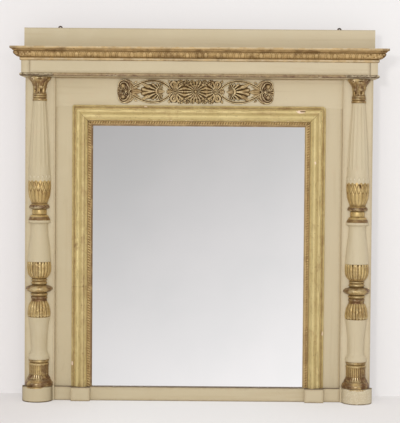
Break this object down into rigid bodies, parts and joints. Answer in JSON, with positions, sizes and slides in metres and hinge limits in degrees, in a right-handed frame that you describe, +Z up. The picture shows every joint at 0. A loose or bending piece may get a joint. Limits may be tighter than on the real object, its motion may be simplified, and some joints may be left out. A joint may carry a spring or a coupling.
{
  "type": "overmantel mirror",
  "caption": "Painted and gilt wooden overmantel mirror with half columns, a moulded cornice, a pierced ornament and one upright sheet of mirror glass.",
  "frame": {"origin": "middle of the box's underside, so the mirror stands on Z = 0", "axes": "+Z up, +X to the viewer's right, front faces -Y, the back plane that lies on the wall faces +Y"},
  "size_m": [1.399, 0.143, 1.4157],
  "materials": {
    "cream_paint": "satin, aged paint",
    "gilt": "worn water gilding",
    "worn_gilt": "worn gilding over bole",
    "bare_wood": "matte",
    "mirror_glass": "polished",
    "iron": "matte"
  },
  "bodies": {
    "root": {"attic_board": "cream_paint", "attic_end_left": "cream_paint", "attic_end_right": "cream_paint", "cap_board": "cream_paint", "cornice_front": "gilt", "cornice_return_left": "gilt", "cornice_return_right": "gilt", "frieze_board": "cream_paint", "frieze_end_left": "cream_paint", "frieze_end_right": "cream_paint", "soffit_board": "cream_paint", "astragal_front": "cream_paint", "astragal_return_left": "cream_paint", "astragal_return_right": "cream_paint", "soffit_cove": "worn_gilt", "header_board": "cream_paint", "ornament": "worn_gilt", "pilaster_left": "cream_paint", "pilaster_right": "cream_paint", "field_strip_left": "cream_paint", "field_strip_right": "cream_paint", "sight_backing": "bare_wood", "base_board": "bare_wood", "base_rail": "cream_paint", "frame_block_left": "cream_paint", "frame_block_right": "cream_paint", "frame_rail_top": "gilt", "frame_stile_left": "gilt", "frame_stile_right": "gilt", "rope_top": "worn_gilt", "rope_left": "worn_gilt", "rope_right": "worn_gilt", "mirror_glass": "mirror_glass", "glass_blocks": "bare_wood", "back_planks": "bare_wood", "rear_stile_left": "bare_wood", "rear_stile_right": "bare_wood", "rear_rail_top": "bare_wood", "rear_rail_bottom": "bare_wood", "capital_left": "gilt", "shaft_left": "cream_paint", "vase_left": "cream_paint", "cup_left": "gilt", "knop_left": "gilt", "bell_left": "gilt", "lower_vase_left": "cream_paint", "foot_left": "gilt", "plinth_left": "cream_paint", "capital_right": "gilt", "shaft_right": "cream_paint", "vase_right": "cream_paint", "cup_right": "gilt", "knop_right": "gilt", "bell_right": "gilt", "lower_vase_right": "cream_paint", "foot_right": "gilt", "plinth_right": "cream_paint", "hanger_plate_left": "iron", "hanger_plate_right": "iron", "hanger_screws": "iron"}
  },
  "joints": []
}
